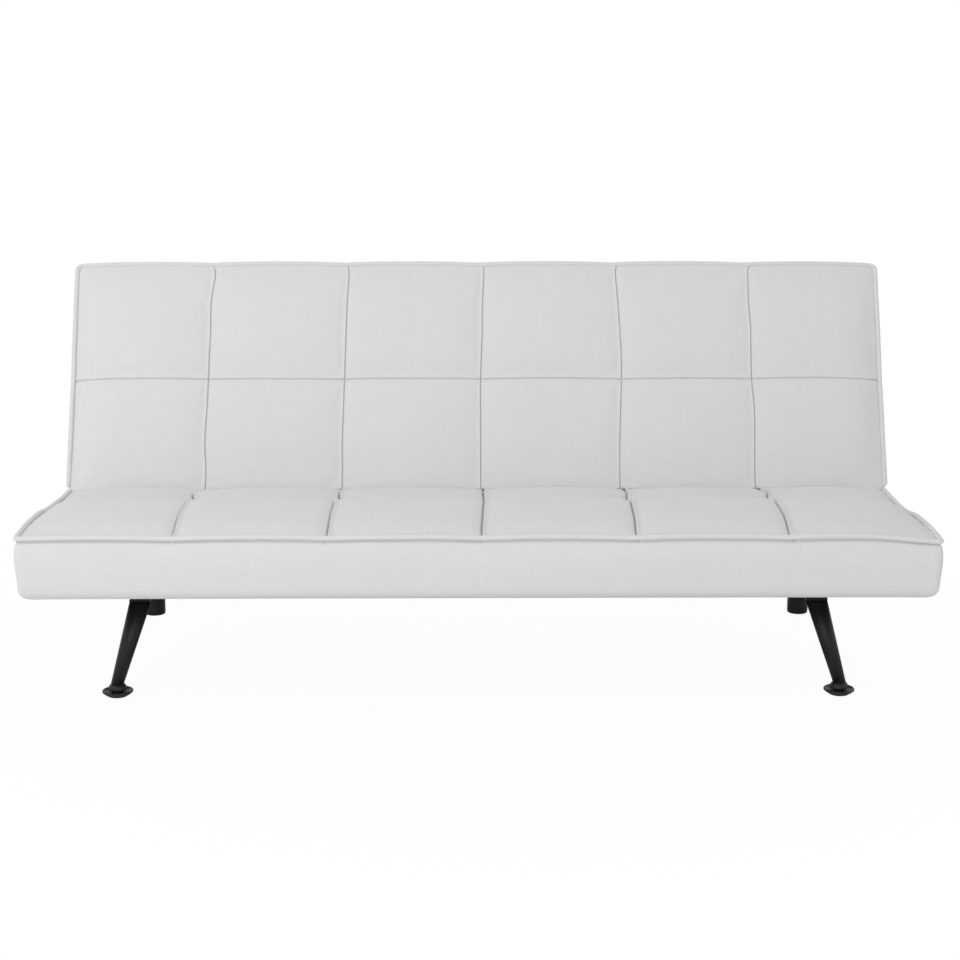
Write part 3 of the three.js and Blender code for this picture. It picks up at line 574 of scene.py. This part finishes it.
def shift_seams(panel, points, x, y, level):
    """Lets every seam stray, carrying the cloth beside it."""
    out = points.copy()
    places = np.array(STRAY_PLACES[panel.name]) * MM
    for number, seam_x in enumerate(panel.column_seams):
        strays = np.array(STRAYS[panel.name][number]) * MM
        stray = smooth_curve(places, strays, np.clip(y, places[0], places[-1]))
        near = 1 - smooth_step(np.abs(x - seam_x) / (panel.column * 0.5))
        out[:, 0] += stray * near * LEVEL_HOLD[level]
    wander = [noise.noise(Vector((place * 6, panel.seed * 7.7, 3.1))) for place in x]
    wander = np.array(wander) * SEAM_WANDER
    near = 1 - smooth_step(np.abs(y - panel.seam) / WANDER_REACH)
    sides = smooth_step((panel.half - np.abs(x)) / (40 * MM))
    out[:, 1] += np.where(level == 0, wander * near * sides, 0)
    return out


def seam_folds(panel, x, y, level):
    """How far the fold of a seam lifts or sinks each point of the top."""
    amount = np.zeros(len(x))
    offsets, heights = np.array(COLUMN_FOLD).T * MM
    offsets, heights = offsets * panel.fold_width, heights * panel.fold_depth
    for seam_x in panel.column_seams:
        amount += np.interp(x - seam_x, offsets, heights, left=0, right=0)
    offsets, heights = np.array(ROW_FOLD).T * MM
    row = np.interp(y - panel.seam, offsets, heights, left=0, right=0) * panel.row_depth
    amount = np.where(np.abs(row) > np.abs(amount), row, amount)
    return amount * FOLD_HOLD[level]


def pin_weights(panel, x, y, level):
    """1 where the cloth is sewn or stapled down, 0 where the filling may swell it."""
    gaps = [np.abs(x - seam_x) for seam_x in panel.column_seams] + [np.abs(y - panel.seam)]
    gap = np.min(gaps, axis=0)
    top = level == 0
    sewn = top & (gap < FOLD_REACH * panel.fold_width + 1 * MM)
    rim = (level >= 1) & (level < len(TOP_ARC))
    to_end = np.minimum(y - panel.near, panel.far - y)
    edge = np.minimum(panel.half - np.abs(x), to_end) < 1 * MM
    under = level >= len(TOP_ARC) + len(SIDE_SHARES) - 2
    return np.where(sewn | rim | (top & edge) | under, 1.0, 0.0)


def make_object(name, points, faces):
    mesh = bpy.data.meshes.new(name)
    corners = [tuple(int(v) for v in face) for face in faces]
    mesh.from_pydata([tuple(point) for point in points], [], corners)
    mesh.update()
    return link_object(name, mesh)


def swell(piece, weights):
    """Swells the cloth between its seams with a short pressure simulation, up to SIM_CAP."""
    group = piece.vertex_groups.new(name="sewn")
    for index in np.nonzero(weights > 0)[0]:
        group.add([int(index)], float(weights[index]), "REPLACE")
    cloth = piece.modifiers.new("cloth", "CLOTH")
    for key, value in SIM_SETTINGS.items():
        setattr(cloth.settings, key, value)
    cloth.settings.vertex_group_mass = group.name
    cloth.settings.effector_weights.gravity = 0
    cloth.collision_settings.use_collision = False
    cloth.point_cache.frame_start = 1
    cloth.point_cache.frame_end = SIM_FRAMES
    scene = bpy.context.scene
    for step in range(1, SIM_FRAMES + 1):
        scene.frame_set(step)
    graph = bpy.context.evaluated_depsgraph_get()
    after = vertex_values(piece.evaluated_get(graph).to_mesh(), "co")
    before = vertex_values(piece.data, "co")
    move = after - before
    length = np.linalg.norm(move, axis=1, keepdims=True)
    move *= np.minimum(1, SIM_CAP / np.maximum(length, 1e-9))
    print(piece.name, "swelled by up to", round(float(length.max()) / MM, 1), "mm, mean",
          round(float(length.mean()) / MM, 2))
    piece.modifiers.remove(cloth)
    piece.vertex_groups.remove(group)
    scene.frame_set(1)
    return before + move


def vertex_values(mesh, kind):
    values = np.empty(len(mesh.vertices) * 3)
    mesh.vertices.foreach_get(kind, values)
    return values.reshape(-1, 3)


def write_points(piece, points):
    piece.data.vertices.foreach_set("co", points.reshape(-1))
    piece.data.update()


def cloth_unrest(panel, points, level):
    """Small folds and puckers of the cover, in metres along the normal."""
    amount = np.zeros(len(points))
    seed = panel.seed * 11.3
    for n, (x, y, z) in enumerate(points):
        if level[n] >= LEVELS - len(BOTTOM_ARC):
            continue
        broad = noise.noise(Vector((x * 5, y * 6, z * 6 + seed))) * BROAD_FOLD
        fine = noise.noise(Vector((x * 34, y * 34, z * 30 + seed))) * FINE_FOLD
        edge = max(min(panel.half - abs(x), panel.far - y), 0)
        pucker = noise.noise(Vector((x * 60, y * 60, seed + z * 8))) * PUCKER
        pucker *= math.exp(-edge / PUCKER_REACH)
        amount[n] = broad + fine + pucker
        from_seam = panel.seam - y
        if level[n]:
            amount[n] *= UNREST_BELOW_TOP
        elif from_seam > 0:
            strength = panel.crease * math.exp(-((from_seam - CREASE_PLACE) / CREASE_WIDTH) ** 2)
            amount[n] += max(noise.noise(Vector((x * 6, y * 45 + x * 4, seed + 2))), 0) * strength
    return amount * MM


def cut_slots(piece, outline, inner, outer):
    """Takes a slot, given by its outline along the panel, out of both ends of a piece."""
    for sign in (-1, 1):
        count = len(outline)
        points = [(sign * across, y, z) for across in (inner, outer) for y, z in outline]
        faces = [tuple(range(count)), tuple(range(2 * count - 1, count - 1, -1))]
        faces += [(k, count + k, count + (k + 1) % count, (k + 1) % count) for k in range(count)]
        cut_with(piece, make_object("cutter", points, faces))


def cut_with(piece, tool):
    modifier = piece.modifiers.new("cut", "BOOLEAN")
    modifier.operation = "DIFFERENCE"
    modifier.solver = "EXACT"
    modifier.object = tool
    mesh = bmesh.new()
    mesh.from_mesh(tool.data)
    bmesh.ops.recalc_face_normals(mesh, faces=mesh.faces)
    mesh.to_mesh(tool.data)
    mesh.free()
    apply_modifiers(piece)
    bpy.data.objects.remove(tool)


def box_object(low, high):
    xs, ys, zs = zip(low, high)
    points = [(x, y, z) for x in xs for y in ys for z in zs]
    return make_object("cutter", points, [(0, 1, 3, 2), (4, 6, 7, 5), (0, 4, 5, 1), (2, 3, 7, 6),
                                          (0, 2, 6, 4), (1, 5, 7, 3)])


def apply_modifiers(piece):
    graph = bpy.context.evaluated_depsgraph_get()
    mesh = bpy.data.meshes.new_from_object(piece.evaluated_get(graph))
    old = piece.data
    piece.modifiers.clear()
    piece.data = mesh
    bpy.data.meshes.remove(old)


def smooth_faces(piece):
    piece.data.polygons.foreach_set("use_smooth", [True] * len(piece.data.polygons))
    piece.data.update()


def set_material(piece, material):
    piece.data.materials.clear()
    piece.data.materials.append(material)


def dress(piece, body, material, node):
    """Gives a piece its material and body, and hides the CAD node that it stands for."""
    set_material(piece, material)
    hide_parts(node)
    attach(piece, body)


def build_cushion(panel, material):
    xs, ys, keys, faces = cushion_shell(panel)
    x, y, level = xs[keys[:, 0]], ys[keys[:, 1]], keys[:, 2]
    points = place_shell(panel, x, y, level)
    piece = make_object(f"{panel.name}_cushion_cover", points, faces)
    points = swell(piece, pin_weights(panel, x, y, level))
    points = shift_seams(panel, points, x, y, level)
    write_points(piece, points)
    lift = seam_folds(panel, x, y, level) + cloth_unrest(panel, points, level)
    write_points(piece, points + vertex_values(piece.data, "normal") * lift[:, None])
    modifier = piece.modifiers.new("finer", "SUBSURF")
    modifier.levels = 1
    apply_modifiers(piece)
    low = panel.bottom - CUT_OVERRUN
    top = SLOT_TOP[panel.name]
    cut_with(piece, box_object((-SLOT_OUTER, panel.near + RECESS_INSET, low),
                               (SLOT_OUTER, panel.far - RECESS_INSET, panel.bottom + RECESS_DEPTH)))
    cut_slots(piece, [(-CUT_OVERRUN, low), (SLOT_DEPTH, low), (SLOT_DEPTH, SLOT_END), SLOT_KNEE,
                      (SLOT_MOUTH, top), (-CUT_OVERRUN, top)], SLOT_INNER, SLOT_OUTER)
    smooth_faces(piece)
    piece.data.transform(panel.matrix)
    dress(piece, panel.name, material, f"{panel.name}_cushion")


def piping_tube(name, path, seed):
    """A closed round tube along a list of points, its ends turned in."""
    around = PIPING_AROUND
    verts, faces = [], []
    up = Vector((0, 0, 1))
    for i, point in enumerate(path):
        ahead = path[min(i + 1, len(path) - 1)] - path[max(i - 1, 0)]
        ahead.normalize()
        side = ahead.cross(up).normalized()
        lift = side.cross(ahead).normalized()
        wobble = 1 + PIPING_WOBBLE * noise.noise(Vector((i * 0.21, seed, 0)))
        end = min(i, len(path) - 1 - i)
        taper = math.sin(math.pi / 2 * min((end + 0.4) / 3, 1))
        for k in range(around):
            angle = 2 * math.pi * k / around
            spoke = side * math.cos(angle) + lift * math.sin(angle)
            verts.append(point + spoke * PIPING_RADIUS * wobble * taper)
    for i in range(len(path) - 1):
        for k in range(around):
            a, b = i * around + k, i * around + (k + 1) % around
            faces.append((a, b, b + around, a + around))
    faces.append(tuple(range(around)))
    last = (len(path) - 1) * around
    faces.append(tuple(last + k for k in reversed(range(around))))
    bm = bmesh.new()
    rings = [bm.verts.new(v) for v in verts]
    for face in faces:
        bm.faces.new([rings[v] for v in face])
    bmesh.ops.recalc_face_normals(bm, faces=bm.faces)
    mesh = bpy.data.meshes.new(name)
    bm.to_mesh(mesh)
    bm.free()
    piece = link_object(name, mesh)
    smooth_faces(piece)
    return piece


def piping_path(panel):
    """The welt's line along a side, the far edge and the other side, in panel coordinates."""
    reach, corner_radius = PIPING_REACH[panel.name], PLAN_CORNER_RADIUS[panel.name]
    side_angle, far_angle = PIPING_SIDE_ANGLE, PIPING_FAR_ANGLE[panel.name]
    centre_x, centre_y = panel.half - corner_radius, panel.far - corner_radius
    inner = corner_radius - TOP_EDGE_RADIUS
    corner_turns = np.linspace(0, math.pi / 2, PIPING_CORNER_STEPS, endpoint=False)
    stations = [(0, y) for y in np.arange(panel.near + PIPING_START, centre_y, PIPING_STEP)]
    stations += [(turn, centre_y) for turn in corner_turns]
    stations += [(math.pi / 2, x) for x in np.arange(centre_x, 0, -PIPING_STEP)]
    half_route = []
    for turn, place in stations:
        share = smooth_step(turn / (math.pi / 2))
        tilt = side_angle + (far_angle - side_angle) * share
        out = inner + reach * math.sin(tilt)
        if turn < math.pi / 2:
            x = centre_x + out * math.cos(turn)
            y = place + out * math.sin(turn)
        else:
            x, y = place, centre_y + out
        half_route.append((x, y, panel.top - TOP_EDGE_RADIUS + reach * math.cos(tilt)))
    route = []
    for sign, part in ((-1, half_route), (1, half_route[::-1])):
        for x, y, z in part:
            x = sign * x
            at_x = np.array(np.clip(x, -panel.half, panel.half))
            at_y = np.array(min(y, panel.far))
            side_pull = SIDE_PULL * PIPING_PULL_SHARE * (1 - (2 * y / panel.far - 1) ** 2)
            out_x = sign * (side_shift(panel, at_y) - side_pull)
            out_x *= smooth_step((abs(x) - (panel.half - 60 * MM)) / (40 * MM))
            far_pull = 1 - min(abs(x) / panel.half, 1) ** FAR_PULL_POWER
            out_y = far_shift(panel, at_x) - FAR_PULL[panel.name] * far_pull
            out_y *= smooth_step((y - (panel.far - 60 * MM)) / (40 * MM))
            sway = noise.noise(Vector((x * 7, y * 7, panel.seed + 4.2))) * PIPING_SWAY
            rise = float(top_rise(panel, at_x, at_y))
            route.append(Vector((x + float(out_x), y + float(out_y), z + rise + sway)))
    for end, sign in ((0, -1), (-1, 1)):
        tip = route[end]
        tail = [tip + Vector((-sign * inward, -back, -down)) * MM
                for inward, back, down in PIPING_TAIL]
        route = tail[::-1] + route if end == 0 else route + tail
    return route


def build_piping(panel, material):
    piece = piping_tube(f"{panel.name}_welt", piping_path(panel), panel.seed)
    piece.data.transform(panel.matrix)
    dress(piece, panel.name, material, f"{panel.name}_piping")


# Steel parts and feet

def turned(name, profile, centre, lean=0):
    """A piece turned from its profile about an upright axis, which may lean to the side."""
    count = ROUND_STEPS
    points = []
    for radius, height in profile:
        for k in range(count):
            angle = 2 * math.pi * k / count
            points.append((centre[0] + radius * MM * math.cos(angle) + lean * height * MM,
                           centre[1] + radius * MM * math.sin(angle), height * MM))
    faces = [tuple(reversed(range(count)))]
    for ring in range(len(profile) - 1):
        for k in range(count):
            a, b = ring * count + k, ring * count + (k + 1) % count
            faces.append((a, b, b + count, a + count))
    last = (len(profile) - 1) * count
    faces.append(tuple(range(last, last + count)))
    piece = make_object(name, points, faces)
    piece.data.polygons.foreach_set("use_smooth", [len(face) == 4 for face in faces])
    return piece


def rounded(profile, radius):
    """A profile with its inner corners rounded, each by a few points."""
    out = [profile[0]]
    for before, corner, after in zip(profile[:-2], profile[1:-1], profile[2:]):
        corner = Vector(corner)
        for_before, for_after = Vector(before) - corner, Vector(after) - corner
        cut = min(radius, for_before.length * 0.45, for_after.length * 0.45)
        start = corner + for_before.normalized() * cut
        end = corner + for_after.normalized() * cut
        for k in range(CORNER_STEPS + 1):
            t = k / CORNER_STEPS
            out.append(tuple(start * (1 - t) ** 2 + corner * 2 * t * (1 - t) + end * t * t))
    out.append(profile[-1])
    return out


def node_centre(name):
    low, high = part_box(name)
    return (low + high) / 2


def softened(name, width, long_only, body, material):
    """A steel or rubber part of the CAD model with its sharp outer edges rounded."""
    mesh = bmesh.new()
    mesh.from_mesh(frame["nodes"][name].data)
    bmesh.ops.remove_doubles(mesh, verts=mesh.verts, dist=0.01 * MM)
    bmesh.ops.dissolve_limit(mesh, angle_limit=math.radians(1), verts=mesh.verts, edges=mesh.edges)
    shortest = LONG_EDGE if long_only else 0
    edges = [edge for edge in mesh.edges if len(edge.link_faces) == 2 and edge.is_convex
             and edge.calc_face_angle() > SHARP_ANGLE and edge.calc_length() > shortest]
    bmesh.ops.bevel(mesh, geom=edges, offset=width, offset_type="OFFSET",
                    segments=3 if long_only else 2, profile=0.5, affect="EDGES",
                    clamp_overlap=not long_only)
    bmesh.ops.triangulate(mesh, faces=[face for face in mesh.faces if len(face.verts) > 4])
    data = bpy.data.meshes.new(f"{name}_finished")
    mesh.to_mesh(data)
    mesh.free()
    piece = link_object(f"{name}_finished", data)
    dress(piece, body, material, name)


def build_front_leg(side, sign, steel, plastic):
    low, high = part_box(f"front_leg_{side}")
    foot = node_centre(f"front_glide_disc_{side}")
    top_x = high.x - LEG_TOP_INSET if sign < 0 else low.x + LEG_TOP_INSET
    bottom, top = low.z / MM, high.z / MM
    lean = (top_x - foot.x) / (high.z - low.z)
    profile = [(AXIS, bottom), (FRONT_LEG_TIP, bottom), (FRONT_LEG_FOOT, bottom + 0.6),
               (FRONT_LEG_TOP, top), (AXIS, top)]
    leg = turned(f"front_leg_tube_{side}", profile, (foot.x - lean * low.z, foot.y), lean)
    dress(leg, "base", steel, f"front_leg_{side}")
    dome = turned(f"front_foot_dome_{side}", rounded(FOOT_DOME, 1.2), (foot.x, foot.y))
    dress(dome, "base", plastic, f"front_glide_socket_{side}")
    disc = turned(f"front_foot_disc_{side}", rounded(FOOT_DISC, 0.7), (foot.x, foot.y))
    dress(disc, f"glide_{side}", plastic, f"front_glide_disc_{side}")


def build_rear_leg(side, steel, plastic):
    low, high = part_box(f"rear_leg_{side}")
    centre = node_centre(f"rear_leg_{side}")
    bottom, top = low.z / MM, high.z / MM
    profile = [(AXIS, bottom), (REAR_LEG_RADIUS, bottom), (REAR_LEG_RADIUS, top), (AXIS, top)]
    leg = turned(f"rear_leg_tube_{side}", rounded(profile, 1.0), centre)
    dress(leg, "base", steel, f"rear_leg_{side}")
    pad = turned(f"rear_foot_cap_{side}", rounded(REAR_PAD, 0.6), centre)
    dress(pad, "base", plastic, f"rear_foot_pad_{side}")


# Stage

def background(tree, strength):
    node = add_node(tree, "ShaderNodeBackground")
    fill(node, {"Color": (1, 1, 1, 1), "Strength": strength})
    return node.outputs["Background"]


def mix_shaders(tree, share, first, second, surface):
    mix = add_node(tree, "ShaderNodeMixShader")
    tree.links.new(share, mix.inputs["Fac"])
    tree.links.new(first, mix.inputs[1])
    tree.links.new(second, mix.inputs[2])
    tree.links.new(mix.outputs["Shader"], surface)


def build_world():
    """Soft white light, and plain white where the world itself is seen."""
    world = bpy.data.worlds.new("studio")
    bpy.context.scene.world = world
    world.use_nodes = True
    tree = world.node_tree
    tree.nodes.clear()
    out = add_node(tree, "ShaderNodeOutputWorld")
    rays = add_node(tree, "ShaderNodeLightPath")
    seen = math_node(tree, "MAXIMUM", rays.outputs["Is Camera Ray"], rays.outputs["Is Glossy Ray"])
    seen = math_node(tree, "MAXIMUM", seen, rays.outputs["Is Transmission Ray"])
    mix_shaders(tree, seen, background(tree, WORLD_STRENGTH), background(tree, 1),
                out.inputs["Surface"])


def build_floor():
    """A pale floor that turns white to the camera and keeps a share of the sofa's shadow."""
    far = FLOOR_HALF
    floor = make_object("floor", [(-far, -far, 0), (far, -far, 0), (far, far, 0), (-far, far, 0)],
                        [(0, 1, 2, 3)])
    material, tree, shader = new_material("pale_floor")
    fill(shader, {"Base Color": FLOOR_COLOR, "Roughness": 0.9})
    glow = add_node(tree, "ShaderNodeEmission")
    fill(glow, {"Strength": 1})
    rays = add_node(tree, "ShaderNodeLightPath")
    distance = add_node(tree, "ShaderNodeVectorMath", operation="LENGTH")
    tree.links.new(object_place(tree), distance.inputs[0])
    white = add_node(tree, "ShaderNodeMapRange")
    tree.links.new(distance.outputs["Value"], white.inputs["Value"])
    near, far = FLOOR_SHADOW_REACH
    fill(white, {"From Min": near, "From Max": far, "To Min": FLOOR_WHITE_SHARE})
    share = math_node(tree, "MULTIPLY", rays.outputs["Is Camera Ray"], white.outputs["Result"])
    mix_shaders(tree, share, shader.outputs["BSDF"], glow.outputs["Emission"],
                tree.nodes["Material Output"].inputs["Surface"])
    floor.data.materials.append(material)


def add_area_light(name, place, target, size, power):
    data = bpy.data.lights.new(name, "AREA")
    data.shape = "RECTANGLE"
    data.size, data.size_y = size
    data.energy = power
    lamp = link_object(name, data)
    lamp.location = place
    toward = Vector(target) - Vector(place)
    lamp.rotation_euler = toward.to_track_quat("-Z", "Y").to_euler()


def build_camera():
    data = bpy.data.cameras.new("view")
    data.sensor_width = SENSOR_WIDTH
    data.lens = CAMERA_LENS
    data.clip_end = 50
    camera = link_object("view", data)
    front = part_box("seat_piping")[0].y
    camera.location = (CAMERA_ASIDE, front - CAMERA_DISTANCE, CAMERA_HEIGHT)
    camera.rotation_euler = (math.pi / 2 - CAMERA_TILT, 0, CAMERA_TURN)
    bpy.context.scene.camera = camera


clear_default_scene()
bpy.context.scene.view_settings.view_transform = "Standard"
build_camera()
build_world()
build_floor()
add_area_light("key", **KEY_LIGHT)
add_area_light("front", **FRONT_LIGHT)

hinge_place = Matrix.Translation(HINGE)
seat_panel = Panel("seat", hinge_place @ Matrix.Rotation(math.pi, 4, "Z"), seed=1,
                   fold_width=1.5, fold_depth=2.5, row_depth=1.5, crease=6)
back_panel = Panel("back", hinge_place @ Matrix.Rotation(LEAN, 4, "X"), seed=2,
                   fold_width=1, fold_depth=0.9, row_depth=1.25, crease=0.6)

for panel, turn in ((seat_panel, 0), (back_panel, LEAN)):
    cloth = linen(f"{panel.name}_linen", turn, CLOTH_COLOR)
    build_cushion(panel, cloth)
    build_piping(panel, cloth)

finishes = {
    "black_steel": satin_black_steel(),
    "zinc_steel": zinc_steel(),
    "black_plastic": moulded("black_plastic", (0.012, 0.012, 0.013), (0.024, 0.024, 0.026),
                             roughness=0.42, grain_scale=1400),
    "rubber": moulded("black_rubber", (0.01, 0.01, 0.01), (0.022, 0.022, 0.022),
                      roughness=0.8, grain_scale=900),
    "webbing": woven_strap(),
    "dust_cover": non_woven(),
}
for side, sign in (("left", -1), ("right", 1)):
    build_front_leg(side, sign, finishes["black_steel"], finishes["black_plastic"])
    build_rear_leg(side, finishes["black_steel"], finishes["black_plastic"])

# The other CAD parts: straps and dust covers keep their shape, the rest gets rounded edges
body_of = {node: body for body, nodes in frame["record"]["behaviour"]["bodies"].items()
           for node in nodes}
built_above = ("cushion", "piping", "front_leg_left", "front_leg_right", "glide", "rear_leg",
               "foot_pad")
tubes = ("frame_", "bearer_", "base_rail", "crossbar")
for subpart in frame["record"]["subparts"]:
    node, slot = subpart["node"], subpart["material_slot"]
    if any(word in node for word in built_above):
        continue
    if slot in ("webbing", "dust_cover"):
        set_material(frame["nodes"][node], finishes[slot])
    else:
        tube = any(word in node for word in tubes)
        softened(node, TUBE_EDGE if tube else PLATE_EDGE, tube, body_of[node], finishes[slot])
